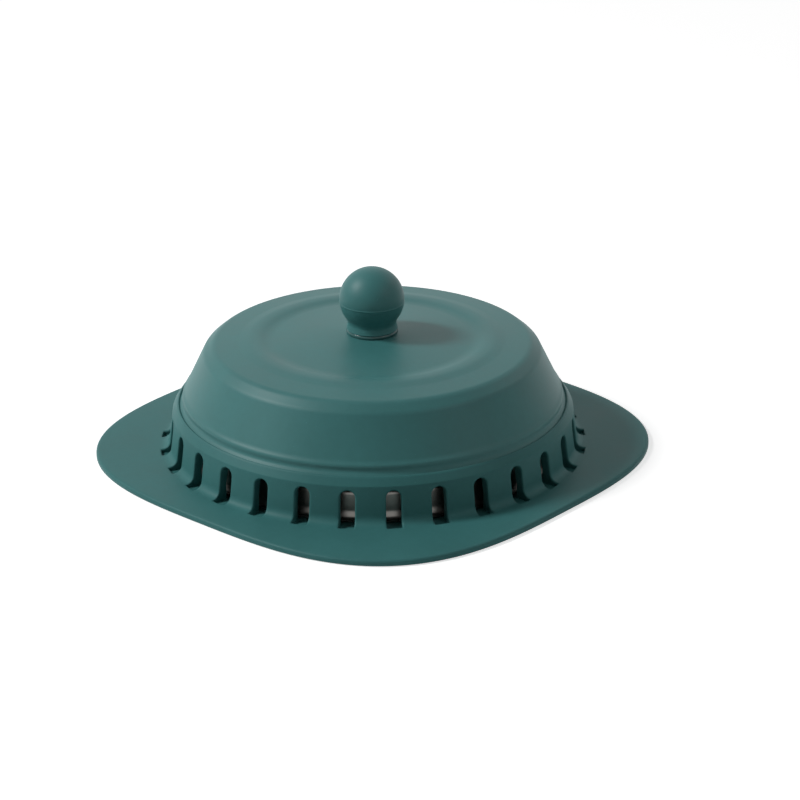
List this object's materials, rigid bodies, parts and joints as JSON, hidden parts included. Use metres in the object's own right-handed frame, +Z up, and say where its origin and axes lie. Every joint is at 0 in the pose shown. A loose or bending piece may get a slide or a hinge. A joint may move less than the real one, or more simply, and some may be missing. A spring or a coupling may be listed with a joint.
{
  "type": "drain stopper",
  "caption": "Square silicone drain stopper with a slotted collar, a lift-off dome and a steel bell valve raised by a ball knob.",
  "frame": {"origin": "centre of the mat's underside, on the floor", "axes": "+Z up along the drain's axis, X and Y along the mat's sides"},
  "size_m": [0.15, 0.15, 0.0577],
  "materials": {
    "silicone": "matte moulded silicone with a soft sheen",
    "acetal": "smooth moulded",
    "steel": "brushed stainless",
    "polished_steel": "polished stainless",
    "rubber": "matte black",
    "brass": "turned"
  },
  "bodies": {
    "base": {"base_mat": "silicone", "strainer_plate": "steel"},
    "lid": {"dome_cap": "silicone", "guide_bush": "acetal", "bush_washer": "steel", "bush_nut": "acetal", "stem_oring": "rubber"},
    "valve": {"knob": "silicone", "knob_insert": "brass", "stem_bolt": "steel", "stop_nut": "steel", "clamp_nut": "steel", "seal_washer": "rubber", "bell": "polished_steel", "head_washer": "steel", "bell_gasket": "rubber"}
  },
  "joints": [
    {"name": "lid_lift", "type": "slide", "parent": "base", "child": "lid", "axis": [0, 0, 1], "range_m": [0, 0.03]},
    {"name": "valve_lift", "type": "slide", "parent": "lid", "child": "valve", "axis": [0, 0, 1], "range_m": [0, 0.004]}
  ]
}
